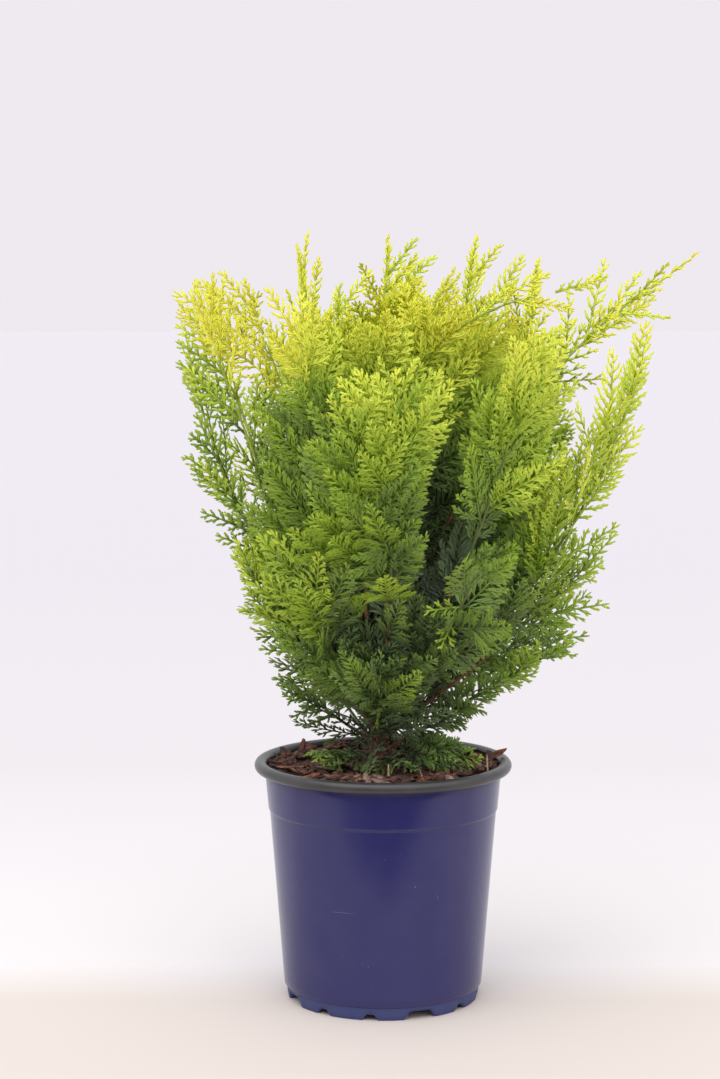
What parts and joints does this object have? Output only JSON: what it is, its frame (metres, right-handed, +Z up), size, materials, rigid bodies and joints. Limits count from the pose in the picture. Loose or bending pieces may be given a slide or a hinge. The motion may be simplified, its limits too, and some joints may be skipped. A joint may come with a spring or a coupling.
{
  "type": "potted Lawson cypress",
  "caption": "Young golden Lawson cypress, a bushy conifer with flat fern-like sprays, growing in a round plastic nursery pot.",
  "frame": {"origin": "on the pot's axis, on the flat underside it stands on", "axes": "+Z up the plant, -Y towards its front, +X to the right of that front view"},
  "size_m": [0.3346, 0.2464, 0.493],
  "materials": {
    "pot_blue": "smooth, softly glossy deep blue plastic",
    "rim_grey": "satin dark grey plastic",
    "soil_brown": "dark compost under shredded bark",
    "bark_brown": "thin, finely fissured reddish-brown bark",
    "foliage_gold": "bright yellow scale foliage",
    "foliage_lime": "yellow-lime scale foliage",
    "foliage_olive": "olive-yellow scale foliage",
    "foliage_green": "mid-green scale foliage",
    "foliage_deep": "deep blue-green scale foliage"
  },
  "bodies": {
    "root": {"bough_crown_arching": "bark_brown", "bough_crown_back": "bark_brown", "bough_crown_back_left": "bark_brown", "bough_crown_front": "bark_brown", "bough_crown_front_left": "bark_brown", "bough_crown_front_right": "bark_brown", "bough_crown_gold": "bark_brown", "bough_crown_left": "bark_brown", "bough_crown_left_back": "bark_brown", "bough_crown_right": "bark_brown", "bough_crown_right_back": "bark_brown", "bough_middle_back": "bark_brown", "bough_middle_back_left": "bark_brown", "bough_middle_back_right": "bark_brown", "bough_middle_front_left": "bark_brown", "bough_middle_front_right": "bark_brown", "bough_middle_left": "bark_brown", "bough_middle_right": "bark_brown", "bough_top_left": "bark_brown", "bough_top_right": "bark_brown", "foliage_crown_arching": "foliage_lime", "foliage_crown_back": "foliage_lime", "foliage_crown_back_left": "foliage_lime", "foliage_crown_front": "foliage_olive", "foliage_crown_front_left": "foliage_lime", "foliage_crown_front_right": "foliage_lime", "foliage_crown_gold": "foliage_gold", "foliage_crown_left": "foliage_green", "foliage_crown_left_back": "foliage_lime", "foliage_crown_right": "foliage_lime", "foliage_crown_right_back": "foliage_lime", "foliage_lower_back_left": "foliage_deep", "foliage_lower_back_right": "foliage_deep", "foliage_lower_front": "foliage_deep", "foliage_lower_left": "foliage_deep", "foliage_lower_right": "foliage_deep", "foliage_middle_back": "foliage_green", "foliage_middle_back_left": "foliage_green", "foliage_middle_back_right": "foliage_green", "foliage_middle_front_left": "foliage_green", "foliage_middle_front_right": "foliage_green", "foliage_middle_left": "foliage_green", "foliage_middle_right": "foliage_green", "foliage_skirt_back": "foliage_deep", "foliage_skirt_front": "foliage_deep", "foliage_skirt_left": "foliage_deep", "foliage_skirt_right": "foliage_deep", "foliage_top": "foliage_lime", "foliage_top_left": "foliage_lime", "foliage_top_right": "foliage_lime", "pot": "pot_blue", "pot_rim": "rim_grey", "soil": "soil_brown", "trunk": "bark_brown"}
  },
  "joints": []
}
